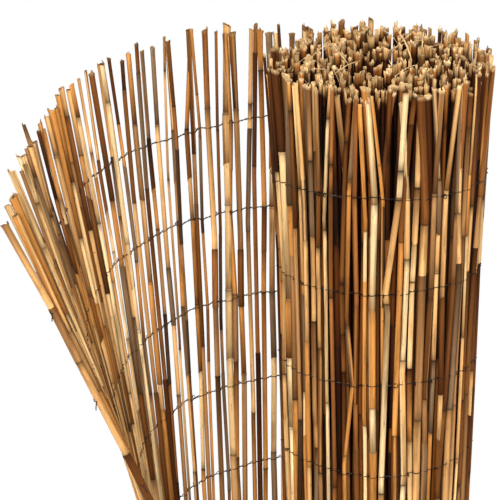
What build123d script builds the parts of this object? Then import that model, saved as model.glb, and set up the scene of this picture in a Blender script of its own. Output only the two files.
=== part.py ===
"""A standing roll of reed fencing whose last turn is let loose and flares open at the top.

Millimetres, +Z up. The origin is on the floor, on the axis of the roll.
"""

import os
from math import atan2, cos, pi, sin, sqrt

from build123d import *

# Roll
roll_height = 1000.0  # floor to the cut ends at the front of the roll
back_rise = 23.0  # the cut ends at the back of the roll stand this much higher
roll_top_radius = 112.0  # over the reeds of the outer turn, at roll_height
roll_foot_radius = 90.0  # the same at the floor, where the roll is wound tighter
core_radius = 20.0  # hollow core at roll_height
turn_spacing = 7.2  # from one turn to the next, at roll_height
roll_reed_spacing = 9.8  # from reed to reed along a turn, at roll_height
ridge_height = 3.2  # how far a reed of the roll stands out of the valleys beside it
turn_thickness = 4.8  # of a rolled turn, over its ridges
back_face_sag = 1.0  # the flats on the inner side of a turn cut inside its curve so far

# Loose turn
loose_reeds = 54
loose_spacing = 10.2  # from reed to reed along the loose turn
reed_thickness = 5.6  # across the flats of a middling reed
reed_sides = 6
thickness_spread = 1.2  # thickest and thinnest reeds differ so much from that
extra_length_at_roll = 32.0  # the loose reeds next to the roll are so much longer than roll_height
short_length_at_end = 25.0  # and those at the free end so much shorter
tip_spread = 8.0  # uneven cut: tips stand so much higher or lower
loose_gap = 2.2  # between the roll's back and the first loose reed, at the top
foot_gap = 8.0  # the same at the floor
top_straight = 152.0  # the top edge runs straight to the left so far
top_radius = 203.0  # then it curls to the front on this radius
top_turn = 87.5  # through so many degrees, and runs on straight
foot_straight = 42.0  # the foot of the loose turn leaves the roll sooner
foot_radius = 137.0  # and curls all the way round in front of it
foot_turn = 260.0

# Binding wires
wire_rows = 9
row_spacing = 98.0
front_row_drop = 104.0  # cut ends to the first row, at the front of the roll
loose_row_drop = 96.0  # tip to the first row, on the loose turn
wire_thickness = 1.1
wire_clearance = 0.15  # between a wire and the nearest reed
reeds_per_wire_run = 3  # a wire is straight over so many reeds
carrier_rows = (1, 7)  # rows whose twists between the loose reeds hold them together

# The roll ends, and the loose turn starts, at the back
departure = pi / 2
taper = roll_foot_radius / roll_top_radius
reed_radius = reed_thickness / 2
outer_middle_radius = roll_top_radius - turn_thickness / 2
turns = (outer_middle_radius - core_radius - turn_thickness / 2) / turn_spacing
tallest = roll_height + back_rise
length_at_roll = roll_height + extra_length_at_roll
length_at_end = roll_height - short_length_at_end


def uneven(index, seed):
    """A number from -1 to 1 that looks random but is the same each time."""
    wave = sin(index * 12.9898 + seed * 78.233) * 43758.5453
    return 2 * (wave - int(wave // 1)) - 1


def roll_radius(height):
    """Radius over the outer reeds of the roll at a height."""
    return roll_foot_radius + (roll_top_radius - roll_foot_radius) * height / roll_height


def turn_radius(angle):
    """Middle of the rolled mat at an angle, at roll_height; the angle grows outwards along the mat."""
    return outer_middle_radius - turn_spacing * (departure - angle) / (2 * pi)


def polar(radius, angle):
    """Point at a radius and angle about the roll's axis."""
    return (radius * cos(angle), radius * sin(angle))


def roll_outline(scale):
    """Outline of the wound mat: ridged on its outer side, in plain flats on its inner side."""
    outer, inner = [], []
    angle = departure - turns * 2 * pi
    while angle < departure:
        crest = turn_radius(angle) + turn_thickness / 2
        half_step = roll_reed_spacing / turn_radius(angle) / 2
        outer.append(polar(scale * crest, angle))
        outer.append(polar(scale * (crest - ridge_height), angle + half_step))
        angle += 2 * half_step
    last = angle - half_step
    angle = departure - turns * 2 * pi
    while angle < last:
        radius = turn_radius(angle) - turn_thickness / 2
        inner.append(polar(scale * radius, angle))
        angle += sqrt(8 * back_face_sag / radius)
    inner.append(polar(scale * (turn_radius(last) - turn_thickness / 2), last))
    return outer + inner[::-1]


def skinned(rings):
    """Solid through outlines with as many corners each, with a flat face at each side and end."""
    faces = [Face(Wire.make_polygon(ring)) for ring in (rings[0], rings[-1])]
    for before, after in zip(rings, rings[1:]):
        for index in range(len(before)):
            corners = [before[index - 1], before[index], after[index], after[index - 1]]
            faces.append(Face(Wire.make_polygon(corners)))
    return Solid(Shell(faces))


def mitred(corners, width):
    """Square outlines of a bar along a bent line, each cut halfway between the runs that meet there."""
    runs = [(end - start).normalized() for start, end in zip(corners, corners[1:])]
    half = width / 2
    start = Plane(corners[0], z_dir=runs[0])
    square = [(-half, -half), (half, -half), (half, half), (-half, half)]
    rings = [[start.from_local_coords(Vector(*point)) for point in square]]
    for corner, run, following in zip(corners[1:], runs, runs[1:] + runs[-1:]):
        normal = run + following
        reach = [(corner - point).dot(normal) / run.dot(normal) for point in rings[-1]]
        rings.append([point + run * distance for point, distance in zip(rings[-1], reach)])
    return rings


def along(start_y, straight, radius, turn, distance):
    """Point on a line that goes left, curls to the front and runs on straight."""
    arc = min(max(distance - straight, 0) / radius, turn * pi / 180)
    rest = max(distance - straight - radius * arc, 0)
    x = -min(distance, straight) - radius * sin(arc) - rest * cos(arc)
    y = start_y - radius * (1 - cos(arc)) - rest * sin(arc)
    return x, y


def reed_half_width(index):
    """Half the width across the flats of one loose reed."""
    return reed_radius + uneven(index, 1) * thickness_spread / 2


def reed_ends(index):
    """Middle of the foot and of the mean cut line of one loose reed."""
    distance = (index + 0.5) * loose_spacing
    widest = reed_radius + thickness_spread / 2
    start_top = roll_radius(tallest) + loose_gap + widest
    start_foot = roll_foot_radius + foot_gap + widest
    top_x, top_y = along(start_top, top_straight, top_radius, top_turn, distance)
    foot_x, foot_y = along(start_foot, foot_straight, foot_radius, foot_turn, distance)
    share = index / (loose_reeds - 1)
    length = length_at_roll + (length_at_end - length_at_roll) * share
    rise = sqrt(length**2 - (top_x - foot_x) ** 2 - (top_y - foot_y) ** 2)
    return Vector(foot_x, foot_y, 0), Vector(top_x, top_y, rise)


def on_reed(index, row):
    """Point on a loose reed's axis where a row of wire crosses it."""
    foot, tip = reed_ends(index)
    return tip + (foot - tip).normalized() * (loose_row_drop + row * row_spacing)


def outward(index, row):
    """Direction from the inside to the outside of the loose turn, square to a reed, at a row."""
    foot, tip = reed_ends(index)
    before = on_reed(max(index - 1, 0), row)
    after = on_reed(min(index + 1, loose_reeds - 1), row)
    return (after - before).cross(tip - foot).normalized()


def loose_reed(index):
    """One reed of the loose turn, six-sided, with its foot flat on the floor."""
    foot, tip = reed_ends(index)
    axis = (tip - foot).normalized()
    length = (tip - foot).length + uneven(index, 2) * tip_spread
    spare = 2 * reed_thickness
    with BuildPart() as reed:
        facing = outward(index, wire_rows // 2)
        with BuildSketch(Plane(foot - axis * spare, x_dir=facing, z_dir=axis)):
            RegularPolygon(reed_half_width(index), reed_sides, major_radius=False)
        extrude(amount=length + spare)
        split(bisect_by=Plane.XY, keep=Keep.TOP)
    return reed.part


def twist(index, row):
    """The wire between a loose reed and the next one."""
    start, end = on_reed(index, row), on_reed(index + 1, row)
    with BuildPart() as strand:
        with BuildSketch(Plane(start, z_dir=end - start)):
            Rectangle(wire_thickness, wire_thickness)
        extrude(amount=(end - start).length)
    return strand.part


def wire_path(row):
    """Corners of one row of wire: once round the roll, then along the outside of the loose turn."""
    level = roll_height - front_row_drop - row * row_spacing
    climb = on_reed(0, row).Z - level
    half_wire = wire_thickness / sqrt(2) + wire_clearance
    step = reeds_per_wire_run * roll_reed_spacing / roll_top_radius
    runs = int((2 * pi - step) / step)
    points = []
    for run in range(runs, 0, -1):
        angle = departure - run * step
        share = min(max(1 - (departure - angle) / departure, 0), 1)
        height = level + climb * share * share * (3 - 2 * share)
        radius = (roll_radius(height) + half_wire) / cos(step / 2)
        points.append(Vector(*polar(radius, angle), height))
    sag = (reeds_per_wire_run * loose_spacing) ** 2 / (8 * foot_radius)
    widest = (reed_radius + thickness_spread / 2) / cos(pi / reed_sides)
    for index in [*range(0, loose_reeds - 1, reeds_per_wire_run), loose_reeds - 1]:
        points.append(on_reed(index, row) + outward(index, row) * (widest + half_wire + sag))
    return points


os.makedirs("parts", exist_ok=True)

# Wound turns: one ridged wall from the core to the back of the roll, cut level at the foot
with BuildPart() as rolled_turns:
    full_height = tallest + back_rise
    top_scale = roll_radius(full_height) / roll_top_radius
    foot_ring = [Vector(*point, 0) for point in roll_outline(taper)]
    top_ring = [Vector(*point, full_height) for point in roll_outline(top_scale)]
    add(skinned([foot_ring, top_ring]))
    # The cut ends rise towards the back
    slope = atan2(back_rise, 2 * roll_top_radius) * 180 / pi
    middle_height = roll_height + back_rise / 2
    split(bisect_by=Plane((0, 0, middle_height)).rotated((slope, 0, 0)), keep=Keep.BOTTOM)
rolled_turns.part.label = "rolled_turns"
export_step(rolled_turns.part, "parts/rolled_turns.step")

# Loose turn: its reeds and the wire twists that carry them, as one wall
reeds = [loose_reed(index) for index in range(loose_reeds)]
twists = [twist(index, row) for row in carrier_rows for index in range(loose_reeds - 1)]
with BuildPart() as loose_turn:
    add(reeds + twists)
loose_turn.part.label = "loose_turn"
export_step(loose_turn.part, "parts/loose_turn.step")

# Rows of binding wire, from the top down
for row in range(wire_rows):
    with BuildPart() as binding_wire:
        add(skinned(mitred(wire_path(row), wire_thickness)))
    name = f"binding_wire_{row + 1}"
    binding_wire.part.label = name
    export_step(binding_wire.part, f"parts/{name}.step")
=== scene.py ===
"""Looks of a standing roll of reed fencing whose last turn is let loose and flares open.

Metres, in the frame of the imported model: +Z up, with the roll's axis through the origin.
"""

import logging
import math
from dataclasses import dataclass, field
from enum import Enum

import bpy
import numpy as np
from mathutils import Euler, Matrix, Quaternion, Vector


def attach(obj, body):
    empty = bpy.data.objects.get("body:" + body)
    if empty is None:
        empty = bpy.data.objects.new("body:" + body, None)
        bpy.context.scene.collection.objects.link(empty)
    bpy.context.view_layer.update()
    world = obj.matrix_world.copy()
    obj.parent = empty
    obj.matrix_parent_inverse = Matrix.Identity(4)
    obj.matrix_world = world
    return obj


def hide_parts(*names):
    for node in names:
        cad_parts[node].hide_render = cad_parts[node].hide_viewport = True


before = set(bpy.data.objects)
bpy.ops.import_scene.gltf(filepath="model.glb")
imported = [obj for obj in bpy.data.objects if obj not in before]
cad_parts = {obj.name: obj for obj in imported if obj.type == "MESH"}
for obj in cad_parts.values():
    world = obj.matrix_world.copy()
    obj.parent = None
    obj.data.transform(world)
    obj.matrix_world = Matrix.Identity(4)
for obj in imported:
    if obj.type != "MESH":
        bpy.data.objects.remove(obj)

log = logging.getLogger("reed_fence")

# Short names for types: the least and the most of a value, three numbers, a screen colour
Span = tuple[float, float]
Triple = tuple[float, float, float]
Screen = tuple[int, int, int]
Piece = bpy.types.Object
Socket = bpy.types.NodeSocket

MM = 0.001
FULL_TURN = 2 * math.pi
SEED = 11
BODY = "root"
COLOUR_LAYER = "stem_colour"
GRAIN_LAYER = "grain"
MARK_LAYER = "mark"
SMOOTH_ANGLE = math.radians(65)
# Heights on a stem that differ by less are taken as one
TOLERANCE = 0.1 * MM
# Painted shade on the stems behind the outermost turn starts this far below their cut ends
TIP_ABOVE_PAINTED_SHADE = 12 * MM
# The wire presses into a reed, to this share of the reed's radius
WIRE_SEAT = 0.95
# Red, green and blue lose light at these powers, so that what is darker is browner: the first for the
# reeds' own darker tones, the second for the painted shade below the tips of stems in the roll
FADE_POWERS = np.array((1.0, 1.18, 1.4))
PAINTED_SHADE_POWERS = np.array((1.0, 1.3, 1.65))


def srgb(red: int, green: int, blue: int) -> Triple:
    """Bring a screen colour to linear light.

    Args:
        red: screen value from 0 to 255.
        green: the same for green.
        blue: the same for blue.

    Returns:
        The linear colour.
    """

    def linear(value: int) -> float:
        """Linear value of one screen value."""
        share = value / 255
        return share / 12.92 if share <= 0.04045 else ((share + 0.055) / 1.055) ** 2.4

    return linear(red), linear(green), linear(blue)


def opaque(colour: Screen) -> tuple[float, float, float, float]:
    """Linear colour that a shader's socket takes."""
    return (*srgb(*colour), 1.0)


def smoothstep(share: float) -> float:
    """A share from 0 to 1, eased at both ends and held inside them."""
    held = min(max(share, 0.0), 1.0)
    return held * held * (3 - 2 * held)


def deselect_all() -> None:
    """Leave object mode with nothing selected."""
    if bpy.context.object is not None and bpy.context.object.mode != "OBJECT":
        bpy.ops.object.mode_set(mode="OBJECT")
    bpy.ops.object.select_all(action="DESELECT")


def select_pieces(pieces: list[Piece]) -> None:
    """Select some objects alone, with the first one active.

    Args:
        pieces: the objects.
    """
    deselect_all()
    for piece in pieces:
        piece.select_set(True)
    bpy.context.view_layer.objects.active = pieces[0]


def join_pieces(pieces: list[Piece], name: str) -> Piece:
    """Join objects into one piece.

    Args:
        pieces: the objects, of which the first is kept.
        name: name of the joined piece.

    Returns:
        The joined piece, smooth apart from its sharp edges.
    """
    select_pieces(pieces)
    bpy.ops.object.join()
    joined = bpy.context.view_layer.objects.active
    joined.name = name
    joined.data.name = name
    bpy.ops.object.shade_smooth_by_angle(angle=SMOOTH_ANGLE)
    return joined


def set_in_frame(piece: Piece, finish: bpy.types.Material, node: str = "") -> None:
    """Give a piece its finish and its place in the frame.

    Args:
        piece: the joined piece.
        finish: its material.
        node: the node that it stands for, if there is one.
    """
    piece.data.materials.clear()
    piece.data.materials.append(finish)
    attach(piece, BODY)
    if node:
        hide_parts(node)


def pushed_line(
    ends: tuple[Vector, Vector], sides: tuple[Vector, Vector], shares: np.ndarray, offsets: np.ndarray
) -> np.ndarray:
    """Points along a stem that is pushed about on its way from its foot to its tip.

    Args:
        ends: foot and tip of the straight line.
        sides: the sideways and the outward direction.
        shares: how far along the line each point lies.
        offsets: how far each point is pushed sideways and outwards.

    Returns:
        The points, one to a row.
    """
    foot, tip = ends
    sideways, outward = sides
    points = [
        np.array(foot.lerp(tip, share) + sideways * offset[0] + outward * offset[1])
        for share, offset in zip(shares, offsets)
    ]
    return np.array(points)


class StemTone(Enum):
    """Colours of dry reed, and painted shade inside its hollow: screen red, green and blue, and roughness.
    """

    STRAW = (253, 208, 144, 0.40)
    CREAM = (254, 217, 160, 0.46)
    HONEY = (238, 181, 114, 0.40)
    GOLD = (211, 142, 70, 0.42)
    TAN = (176, 126, 76, 0.50)
    RUSSET = (158, 98, 48, 0.48)
    BROWN = (127, 76, 32, 0.58)
    UMBER = (86, 46, 16, 0.62)
    GREY = (138, 107, 76, 0.70)
    SOOT = (78, 54, 33, 0.68)
    PITH = (255, 214, 155, 0.85)
    # Painted shade inside the hollow of a cut end, not the reed's own colour
    HOLLOW = (80, 48, 22, 0.90)

    def linear(self) -> np.ndarray:
        """Linear colour, with the roughness as the fourth number."""
        red, green, blue, roughness = self.value
        return np.array((*srgb(red, green, blue), roughness))

    def shaded(self, share: float) -> np.ndarray:
        """The same tone as light as a share says; less light makes it browner."""
        return self.linear() * (*share**FADE_POWERS, 1)


class StemFamily(Enum):
    """How the stretches of one stem are coloured: bare cane first, leaf sheaths second."""

    PALE = ("STRAW CREAM STRAW HONEY", "HONEY STRAW BROWN GOLD")
    GOLDEN = ("HONEY GOLD STRAW HONEY", "GOLD TAN BROWN GREY")
    TAWNY = ("GOLD TAN HONEY TAN", "BROWN GREY RUSSET GREY")
    DARK = ("BROWN TAN RUSSET GOLD", "UMBER BROWN GREY SOOT")

    @classmethod
    def drawn(cls, rng: np.random.Generator, weights: tuple[float, ...] | np.ndarray) -> "StemFamily":
        """A family drawn by weights, one for each family in order."""
        return list(cls)[rng.choice(len(cls), p=weights)]

    def bare(self) -> list[StemTone]:
        """Tones of the bare cane."""
        return [StemTone[word] for word in self.value[0].split()]

    def sheath(self) -> list[StemTone]:
        """Tones of the leaf sheaths."""
        return [StemTone[word] for word in self.value[1].split()]


@dataclass(frozen=True)
class MatShape:
    """Where the mat lies: the sizes of the roll, the loose turn and the rows of wire."""

    roll_height: float = 1.000
    back_rise: float = 0.023
    roll_top_radius: float = 0.112
    roll_foot_radius: float = 0.090
    core_radius: float = 0.020
    turn_spacing: float = 0.0072
    roll_reed_spacing: float = 0.0085
    turn_thickness: float = 0.0048
    loose_reeds: int = 54
    loose_spacing: float = 0.0102
    widest_loose_radius: float = 0.0034
    extra_length_at_roll: float = 0.032
    short_length_at_end: float = 0.025
    loose_gap: float = 0.0022
    foot_gap: float = 0.008
    top_straight: float = 0.152
    top_radius: float = 0.203
    top_turn: float = math.radians(87.5)
    foot_straight: float = 0.042
    foot_radius: float = 0.137
    foot_turn: float = math.radians(260)
    wire_rows: int = 9
    row_spacing: float = 0.098
    front_row_drop: float = 0.104
    loose_row_drop: float = 0.096
    departure: float = math.pi / 2

    @property
    def outer_middle_radius(self) -> float:
        """Middle of the outermost turn at roll_height."""
        return self.roll_top_radius - self.turn_thickness / 2

    @property
    def first_angle(self) -> float:
        """Angle at which the mat starts in the core; angles grow outwards along the mat."""
        depth = self.outer_middle_radius - self.core_radius - self.turn_thickness / 2
        return self.departure - FULL_TURN * depth / self.turn_spacing

    def roll_radius(self, height: float) -> float:
        """Radius over the outer reeds at a height."""
        slope = (self.roll_top_radius - self.roll_foot_radius) / self.roll_height
        return self.roll_foot_radius + slope * height

    def turn_radius(self, angle: float) -> float:
        """Middle of the wound mat at an angle, at roll_height."""
        return self.outer_middle_radius - self.turn_spacing * (self.departure - angle) / FULL_TURN

    def cut_height(self, y: float) -> float:
        """Height of the cut ends of the roll, which rise towards the back."""
        return self.roll_height + self.back_rise / 2 * (1 + y / self.roll_top_radius)

    def row_level(self, row: int) -> float:
        """Height of a row of wire at the front of the roll."""
        return self.roll_height - self.front_row_drop - row * self.row_spacing

    def row_drop(self, row: int) -> float:
        """Distance of a row of wire below the mean cut end of a loose reed."""
        return self.loose_row_drop + row * self.row_spacing

    def roll_angles(self) -> list[float]:
        """Angle of each wound reed.

        Returns:
            The angles, from the core outwards.
        """
        angles = []
        angle = self.first_angle
        while angle < self.departure:
            angles.append(angle)
            angle += self.roll_reed_spacing / self.turn_radius(angle)
        return angles

    def roll_ends(self, angle: float, radius: float) -> tuple[Vector, Vector]:
        """Foot and cut end of a wound reed.

        Args:
            angle: angle of the reed about the roll's axis.
            radius: its distance from the axis at roll_height.

        Returns:
            Foot and tip.
        """
        flat = Vector((math.cos(angle), math.sin(angle), 0)) * radius
        height = self.cut_height(flat.y)
        foot = flat * self.roll_foot_radius / self.roll_top_radius
        tip = flat * self.roll_radius(height) / self.roll_top_radius
        return foot, Vector((tip.x, tip.y, height))

    @staticmethod
    def along(start_y: float, straight: float, radius: float, turn: float, distance: float) -> Vector:
        """Point on a line that goes left, curls to the front and runs on straight.

        Args:
            start_y: how far back the line starts.
            straight: length of its first straight run.
            radius: radius of its curl.
            turn: angle through which it curls.
            distance: how far along the line the point lies.

        Returns:
            The point, on the floor.
        """
        arc = min(max(distance - straight, 0) / radius, turn)
        rest = max(distance - straight - radius * arc, 0)
        x = -min(distance, straight) - radius * math.sin(arc) - rest * math.cos(arc)
        y = start_y - radius * (1 - math.cos(arc)) - rest * math.sin(arc)
        return Vector((x, y, 0))

    def loose_ends(self, place: float) -> tuple[Vector, Vector]:
        """Foot and mean cut end of a loose reed.

        Args:
            place: number of the reed, counted from the roll; a fraction lies between two reeds.

        Returns:
            Foot and tip.
        """
        distance = (place + 0.5) * self.loose_spacing
        tallest = self.roll_height + self.back_rise
        start_top = self.roll_radius(tallest) + self.loose_gap + self.widest_loose_radius
        start_foot = self.roll_foot_radius + self.foot_gap + self.widest_loose_radius
        top = self.along(start_top, self.top_straight, self.top_radius, self.top_turn, distance)
        foot = self.along(start_foot, self.foot_straight, self.foot_radius, self.foot_turn, distance)
        share = place / (self.loose_reeds - 1)
        spread = self.extra_length_at_roll + self.short_length_at_end
        length = self.roll_height + self.extra_length_at_roll - spread * share
        top.z = math.sqrt(length**2 - (top - foot).length_squared)
        return foot, top


@dataclass(frozen=True)
class Ring:
    """One ring of a stem: height, width as a share, darkness of its mark, stretch above it, and slant."""

    height: float
    width: float
    mark: float
    stretch: int
    slant: float = 0.0


@dataclass
class StemPlan:
    """Draws the nodes, leaf sheaths and cut ends of stems that are a metre long.

    Widths are shares of the width at the foot. Where a sheath ends, it has a lip that is dark above and
    below: its own dark edge, and a painted shadow of the lip on the bare cane that comes out of it.
    """

    rng: np.random.Generator
    first_node: Span = (0.03, 0.12)
    internode: Span = (0.09, 0.22)
    last_node: float = 0.985
    node_swell: float = 1.12
    node_half: float = 1.6 * MM
    node_reach: float = 11 * MM
    mark_below: Span = (0.3, 0.8)
    mark_above: Span = (0.1, 0.7)
    sheath_chance: float = 0.6
    sheath_swell: Span = (1.06, 1.18)
    sheath_reach: Span = (0.4, 0.9)
    lip_room: float = 14 * MM
    lip_mark: Span = (0.0, 0.8)
    lip_start: float = 16 * MM
    lip_start_mark: float = 0.35
    lip_step: float = 0.4 * MM
    lip_shadow: float = 7 * MM
    lip_shadow_mark: float = 0.5
    turned_chance: float = 0.5
    tip_width: float = 0.86
    rim_start: float = 0.9965
    flare: float = 1.13
    most_frays: int = 2
    fray_length: Span = (0.8 * MM, 2.6 * MM)
    plain_middle: float = 0.5
    plain_middle_width: float = 0.95
    plain_width: float = 0.9
    plain_lip: Span = (0.955, 0.98)
    plain_lip_mark: Span = (0.2, 0.8)
    plain_lip_step: float = 0.5 * MM
    plain_lip_shadow: float = 0.2

    def frays(self) -> list[float]:
        """Lengths of the splinters on one cut end."""
        count = int(self.rng.integers(0, self.most_frays + 1))
        return list(self.rng.uniform(*self.fray_length, count))

    def full(self) -> tuple[list[Ring], list[bool]]:
        """Draw a stem that shows along its whole length.

        Returns:
            Its rings from the foot up, and for each stretch whether a leaf sheath covers it.
        """
        rng = self.rng
        sheathed = [bool(rng.random() < self.sheath_chance)]
        rings = [Ring(0.0, 1.0, 0.0, 0)]
        node = rng.uniform(*self.first_node)
        while node < self.last_node:
            width = 1 + (self.tip_width - 1) * node
            following = node + rng.uniform(*self.internode)
            covered = bool(rng.random() < self.sheath_chance)
            swollen = width * rng.uniform(*self.sheath_swell) if covered else width
            rings += self._node(node, rings[-1], width, swollen)
            sheathed.append(covered)
            lip = self._lip(node, following, width, swollen, rings[-1].stretch) if covered else []
            if lip:
                rings += lip
                sheathed.append(False)
            node = following
        if rng.random() < self.turned_chance:
            rings = self._turned(rings)
        rings = [ring for ring in rings if ring.height < self.last_node]
        last = rings[-1]
        rings.append(Ring(self.rim_start, last.width, 0.0, last.stretch))
        rings.append(Ring(1.0, last.width * self.flare, 0.0, last.stretch))
        return rings, sheathed

    def _node(self, node: float, below: Ring, width: float, swollen: float) -> list[Ring]:
        """Rings of a swollen, dark node.

        Args:
            node: height of the node.
            below: the ring below it.
            width: width of the cane at the node.
            swollen: width above the node, over the sheath if there is one.

        Returns:
            The rings, from the clean cane below to the clean stretch above.
        """
        stretch = below.stretch
        return [
            Ring(node - self.node_reach, below.width, 0.0, stretch),
            Ring(node - self.node_half, below.width, self.rng.uniform(*self.mark_below), stretch),
            Ring(node, width * self.node_swell, 1.0, stretch + 1),
            Ring(node + self.node_half, swollen, self.rng.uniform(*self.mark_above), stretch + 1),
            Ring(node + self.node_reach, swollen, 0.0, stretch + 1),
        ]

    def _lip(
        self, node: float, following: float, width: float, swollen: float, stretch: int
    ) -> list[Ring]:
        """Rings of the slanting lip in which a sheath ends between two nodes.

        Args:
            node: height of the node at which the sheath starts.
            following: height of the next node.
            width: width of the bare cane.
            swollen: width over the sheath.
            stretch: number of the sheath's stretch.

        Returns:
            The rings, or none where the sheath goes on to the next node or the cut end.
        """
        rng = self.rng
        end = node + (following - node) * rng.uniform(*self.sheath_reach)
        if end + self.lip_room >= min(following - self.node_reach, 1.0):
            return []
        dark = rng.uniform(*self.lip_mark)
        slant = rng.uniform(-1, 1)
        return [
            Ring(end - self.lip_start, swollen, dark * self.lip_start_mark, stretch),
            Ring(end, swollen, dark, stretch, slant),
            Ring(end + self.lip_step, width, dark * self.lip_shadow_mark, stretch + 1, slant),
            Ring(end + self.lip_shadow, width, 0.0, stretch + 1),
        ]

    def _turned(self, rings: list[Ring]) -> list[Ring]:
        """The rings of a stem that is laid end for end.

        Args:
            rings: its rings from the foot up.

        Returns:
            The same rings from the other end, in a new order.
        """
        inside = [ring for ring in rings if ring.height < self.last_node]
        turned = [Ring(0.0, inside[-1].width, 0.0, inside[-1].stretch)]
        for ring in reversed(inside):
            turned.append(Ring(1 - ring.height, ring.width, ring.mark, ring.stretch, ring.slant))
        return turned

    def plain(self) -> tuple[list[Ring], list[bool]]:
        """Draw a stem of the inner turns, of which little more than the cut end shows.

        Returns:
            Its rings from the foot up, and for each stretch whether a leaf sheath covers it.
        """
        width = self.plain_width
        lip = self.rng.uniform(*self.plain_lip)
        swollen = width * self.rng.uniform(*self.sheath_swell)
        rings = [
            Ring(0.0, 1.0, 0.0, 0),
            Ring(self.plain_middle, self.plain_middle_width, 0.0, 0),
            Ring(lip, swollen, self.rng.uniform(*self.plain_lip_mark), 0),
            Ring(lip + self.plain_lip_step, width, self.plain_lip_shadow, 1),
            # The painted shade below the tip starts at this ring
            Ring(1 - TIP_ABOVE_PAINTED_SHADE, width, 0.0, 1),
            Ring(self.rim_start, width, 0.0, 1),
            Ring(1.0, width * self.flare, 0.0, 1),
        ]
        return rings, [True, False]


@dataclass
class StemModel:
    """A stem modelled once, a metre long, from which bent and coloured copies are made.

    Its rings go from the foot up, and the last is the cut end. Sheathed says for each stretch whether a
    leaf sheath covers it, and frays are the lengths of the splinters on the rim of the cut end. Past the
    stretches, their count is the number of the cut wall, and the next number that of the hollow in it.
    """

    name: str
    rings: list[Ring]
    sheathed: list[bool]
    sides: int
    frays: list[float]
    radius: float = 3.0 * MM
    wall: float = 1.2 * MM
    hollow_depth: float = 7 * MM
    crush_length: float = 9 * MM
    fray_outwards: float = 0.35
    fray_taper: float = 0.5
    level_normal: float = 0.9
    ring_tolerance: float = 0.01 * MM

    def __post_init__(self) -> None:
        """Model the stem and read its mesh."""
        self.stretches = len(self.sheathed)
        self.piece = self._model()
        self._read_corners()
        self._read_faces()
        mesh = self.piece.data
        mesh.attributes.new(COLOUR_LAYER, "FLOAT_COLOR", "CORNER")
        mesh.attributes.new(GRAIN_LAYER, "FLOAT_VECTOR", "POINT")
        mesh.attributes.new(MARK_LAYER, "FLOAT", "POINT")

    def _model(self) -> Piece:
        """Extrude the stem ring by ring, hollow its cut end and fray it.

        Returns:
            The stem's object.
        """
        deselect_all()
        foot_radius = self.radius * self.rings[0].width
        bpy.ops.mesh.primitive_circle_add(vertices=self.sides, radius=foot_radius, fill_type="NGON")
        piece = bpy.context.object
        piece.name = self.name
        bpy.ops.object.mode_set(mode="EDIT")
        bpy.ops.mesh.select_mode(type="FACE")
        bpy.ops.mesh.select_all(action="SELECT")
        for below, ring in zip(self.rings, self.rings[1:]):
            rise = (0, 0, ring.height - below.height)
            bpy.ops.mesh.extrude_region_move(TRANSFORM_OT_translate={"value": rise})
            share = ring.width / below.width
            bpy.ops.transform.resize(value=(share, share, 1))
        bpy.ops.mesh.inset(thickness=self.wall)
        bpy.ops.mesh.extrude_region_move(TRANSFORM_OT_translate={"value": (0, 0, -self.hollow_depth)})
        bpy.ops.object.mode_set(mode="OBJECT")
        self._fray(piece)
        bpy.ops.object.mode_set(mode="EDIT")
        bpy.ops.mesh.select_all(action="SELECT")
        bpy.ops.mesh.normals_make_consistent(inside=False)
        bpy.ops.object.mode_set(mode="OBJECT")
        return piece

    def _fray(self, piece: Piece) -> None:
        """Draw splinters out of every second face of the rim.

        Args:
            piece: the stem's object.
        """
        rim = [face.index for face in piece.data.polygons if self._on_rim(face)]
        for place, length in zip(rim[::2], self.frays):
            centre = Vector(piece.data.polygons[place].center)
            for face in piece.data.polygons:
                face.select = face.index == place
            bpy.ops.object.mode_set(mode="EDIT")
            out = Vector((centre.x, centre.y, 0)).normalized() * length * self.fray_outwards
            lift = (out.x, out.y, length)
            bpy.ops.mesh.extrude_region_move(TRANSFORM_OT_translate={"value": lift})
            bpy.ops.transform.resize(value=(self.fray_taper, self.fray_taper, 1))
            bpy.ops.object.mode_set(mode="OBJECT")

    def _on_rim(self, face: bpy.types.MeshPolygon) -> bool:
        """Whether a face lies flat on the cut end."""
        level = abs(face.normal.z) > self.level_normal
        return level and abs(face.center.z - self.rings[-1].height) < TOLERANCE

    def _read_corners(self) -> None:
        """Keep the place of each corner, and its ring's mark and slant."""
        mesh = self.piece.data
        self.corners = np.zeros(len(mesh.vertices) * 3)
        mesh.vertices.foreach_get("co", self.corners)
        self.corners = self.corners.reshape(-1, 3)
        self.heights = np.array([ring.height for ring in self.rings])
        nearest = np.abs(self.corners[:, 2:3] - self.heights).argmin(1)
        self.marks = np.array([ring.mark for ring in self.rings])[nearest]
        self.slants = np.array([ring.slant for ring in self.rings])[nearest]
        depth = self.heights[-1] - self.corners[:, 2]
        self.tip_share = np.clip(1 - depth / self.crush_length, 0, 2)

    def _read_faces(self) -> None:
        """Keep the stretch and the side of each face, and how far up its stretch each corner is."""
        mesh = self.piece.data
        self.loop_corner = np.zeros(len(mesh.loops), int)
        mesh.loops.foreach_get("vertex_index", self.loop_corner)
        self.loop_stretch = np.zeros(len(mesh.loops), int)
        self.loop_side = np.zeros(len(mesh.loops), int)
        for face in mesh.polygons:
            turn = math.atan2(face.center.y, face.center.x) / FULL_TURN
            loops = list(face.loop_indices)
            self.loop_side[loops] = math.floor(turn * self.sides) % self.sides
            self.loop_stretch[loops] = self._stretch(face)
        loop_height = self.corners[self.loop_corner, 2]
        low = np.full(self.stretches + 2, self.heights[-1])
        high = np.zeros(self.stretches + 2)
        np.minimum.at(low, self.loop_stretch, loop_height)
        np.maximum.at(high, self.loop_stretch, loop_height)
        span = np.maximum(high - low, TOLERANCE)
        self.loop_share = (loop_height - low[self.loop_stretch]) / span[self.loop_stretch]

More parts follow.
